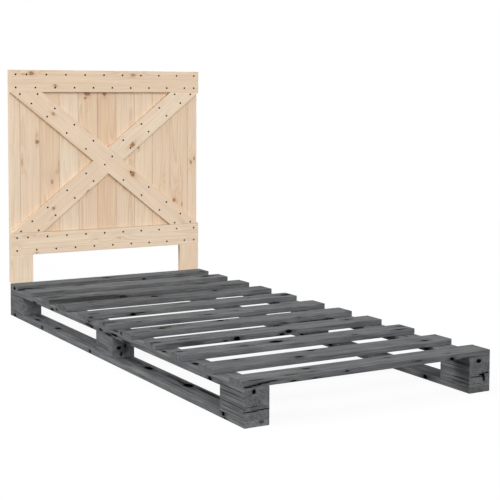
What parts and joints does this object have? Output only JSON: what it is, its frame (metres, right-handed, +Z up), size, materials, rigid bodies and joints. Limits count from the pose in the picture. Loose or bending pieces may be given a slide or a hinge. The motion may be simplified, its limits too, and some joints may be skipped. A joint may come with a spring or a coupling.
{
  "type": "bed frame",
  "caption": "Low single bed frame: a slatted pallet-style base in grey stained pine with a natural pine headboard of upright planks under rails and a cross brace.",
  "frame": {"origin": "on the floor, under the middle of the whole frame", "axes": "+X to the right as seen from the foot, +Y towards the headboard, +Z up"},
  "size_m": [0.9, 2.036, 1.035],
  "materials": {
    "grey_stained_pine": "matt translucent grey stain over pine, grain and black knots showing through",
    "pale_pine": "bare planed pine, matt, with fine grain and brown knots",
    "dark_nails": "dark, slightly domed nail heads, satin",
    "zinc_steel": "bright zinc-plated screws, bolts and washers",
    "beech_dowel": "bare beech dowel"
  },
  "bodies": {
    "root": {"left_runner": "grey_stained_pine", "right_runner": "grey_stained_pine", "left_head_block": "grey_stained_pine", "left_middle_block": "grey_stained_pine", "left_foot_block": "grey_stained_pine", "right_head_block": "grey_stained_pine", "right_middle_block": "grey_stained_pine", "right_foot_block": "grey_stained_pine", "left_stringer": "grey_stained_pine", "right_stringer": "grey_stained_pine", "slat_01": "grey_stained_pine", "slat_02": "grey_stained_pine", "slat_03": "grey_stained_pine", "slat_04": "grey_stained_pine", "slat_05": "grey_stained_pine", "slat_06": "grey_stained_pine", "slat_07": "grey_stained_pine", "slat_08": "grey_stained_pine", "slat_09": "grey_stained_pine", "slat_10": "grey_stained_pine", "slat_11": "grey_stained_pine", "left_edge_plank": "pale_pine", "plank_1": "pale_pine", "plank_2": "pale_pine", "plank_3": "pale_pine", "plank_4": "pale_pine", "plank_5": "pale_pine", "plank_6": "pale_pine", "plank_7": "pale_pine", "plank_8": "pale_pine", "plank_9": "pale_pine", "right_edge_plank": "pale_pine", "top_rail": "pale_pine", "bottom_rail": "pale_pine", "long_brace": "pale_pine", "lower_half_brace": "pale_pine", "upper_half_brace": "pale_pine", "left_headboard_leg": "pale_pine", "right_headboard_leg": "pale_pine", "top_rail_nails": "dark_nails", "bottom_rail_nails": "dark_nails", "long_brace_nails": "dark_nails", "lower_half_brace_nails": "dark_nails", "upper_half_brace_nails": "dark_nails", "runner_screws": "zinc_steel", "stringer_screws": "zinc_steel", "left_slat_screws": "zinc_steel", "right_slat_screws": "zinc_steel", "leg_screws": "zinc_steel", "leg_bolts": "zinc_steel", "leg_washers": "zinc_steel", "leg_dowels": "beech_dowel"}
  },
  "joints": []
}
